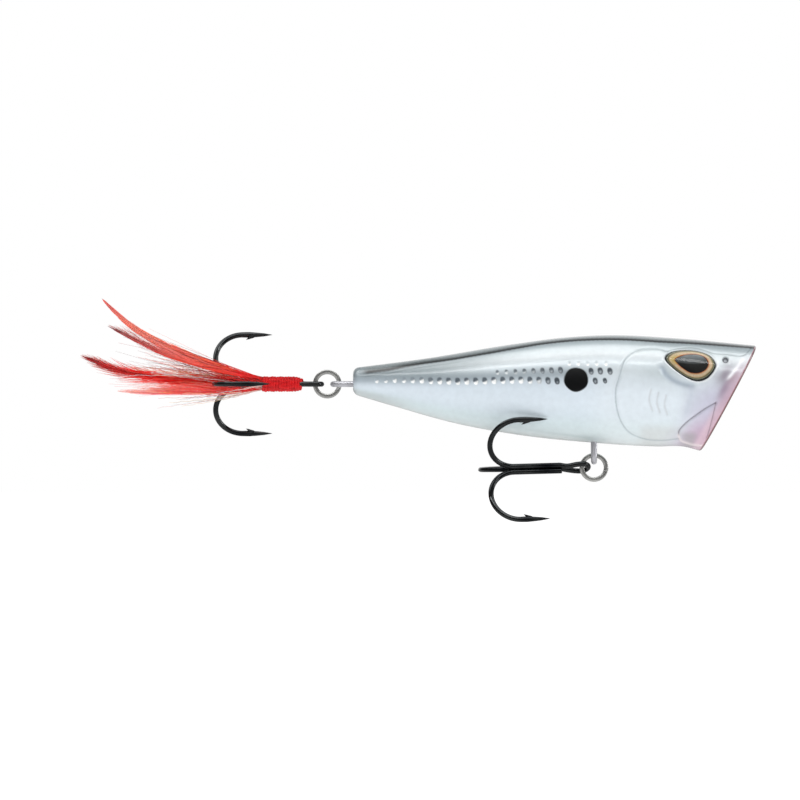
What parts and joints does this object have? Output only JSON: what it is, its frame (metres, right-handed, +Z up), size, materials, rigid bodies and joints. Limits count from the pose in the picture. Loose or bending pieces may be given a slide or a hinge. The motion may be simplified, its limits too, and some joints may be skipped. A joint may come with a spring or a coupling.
{
  "type": "topwater popper fishing lure",
  "caption": "Hollow plastic popper lure with a cupped mouth, split-ring treble hooks and a red feather dressing on the tail hook",
  "frame": {"origin": "centre of the line-tie eye inside the mouth cup", "axes": "+X towards the nose, +Y to the lure's left flank, +Z up through the back"},
  "size_m": [0.1344, 0.0214, 0.0443],
  "materials": {
    "shell": "pearl over a dark gloss back",
    "steel": "bright stainless steel",
    "hook": "black nickel",
    "iris": "metallic print",
    "lens": "clear",
    "weight": "turned",
    "ball": "polished steel",
    "thread": "lacquered tying thread",
    "hackle": "feather",
    "tinsel": "pearl flash"
  },
  "bodies": {
    "lure_body": {"body_shell_right": "shell", "body_shell_left": "shell", "belly_hanger": "steel", "tail_hanger": "steel", "line_tie": "steel", "eye_plate_right": "iris", "eye_lens_right": "lens", "eye_plate_left": "iris", "eye_lens_left": "lens", "tail_weight": "weight"},
    "belly_ring": {"belly_split_ring": "steel"},
    "belly_hook": {"belly_hook_pair": "hook", "belly_hook_single": "hook"},
    "tail_ring": {"tail_split_ring": "steel"},
    "tail_hook": {"tail_hook_pair": "hook", "tail_hook_single": "hook", "thread_wrap": "thread", "hackle_top": "hackle", "hackle_upper": "hackle", "hackle_middle": "hackle", "hackle_lower": "hackle", "hackle_bottom": "hackle", "tinsel_low": "tinsel", "tinsel_back": "tinsel", "tinsel_front": "tinsel"},
    "ball_front": {"rattle_ball_3": "ball"},
    "ball_middle": {"rattle_ball_2": "ball"},
    "ball_back": {"rattle_ball_1": "ball"}
  },
  "joints": [
    {"name": "belly_ring_swing", "type": "hinge", "parent": "lure_body", "child": "belly_ring", "pos_m": [-0.0245, 0, -0.01295], "axis": [1, 0, 0], "range_deg": [-1, 50]},
    {"name": "belly_hook_swing", "type": "hinge", "parent": "belly_ring", "child": "belly_hook", "pos_m": [-0.0245, 0, -0.01535], "axis": [0, 1, 0], "range_deg": [-160, 4]},
    {"name": "tail_ring_swing", "type": "hinge", "parent": "lure_body", "child": "tail_ring", "pos_m": [-0.0749, 0, 0.00115], "axis": [0, 0, 1], "range_deg": [-80, 80]},
    {"name": "tail_hook_swing", "type": "hinge", "parent": "tail_ring", "child": "tail_hook", "pos_m": [-0.0773, 0, 0.00115], "axis": [0, 1, 0], "range_deg": [-110, 110]},
    {"name": "rattle_roll", "type": "slide", "parent": "lure_body", "child": "ball_middle", "axis": [1, 0, 0], "range_m": [-0.0016, 0.0016]},
    {"name": "rattle_roll_front", "type": "slide", "parent": "lure_body", "child": "ball_front", "axis": [1, 0, 0], "range_m": [-0.0016, 0.0016]},
    {"name": "rattle_roll_back", "type": "slide", "parent": "lure_body", "child": "ball_back", "axis": [1, 0, 0], "range_m": [-0.0016, 0.0016]}
  ],
  "couplings": [
    {"joint": "rattle_roll_front", "follows": "rattle_roll", "ratio": 1},
    {"joint": "rattle_roll_back", "follows": "rattle_roll", "ratio": 1}
  ]
}
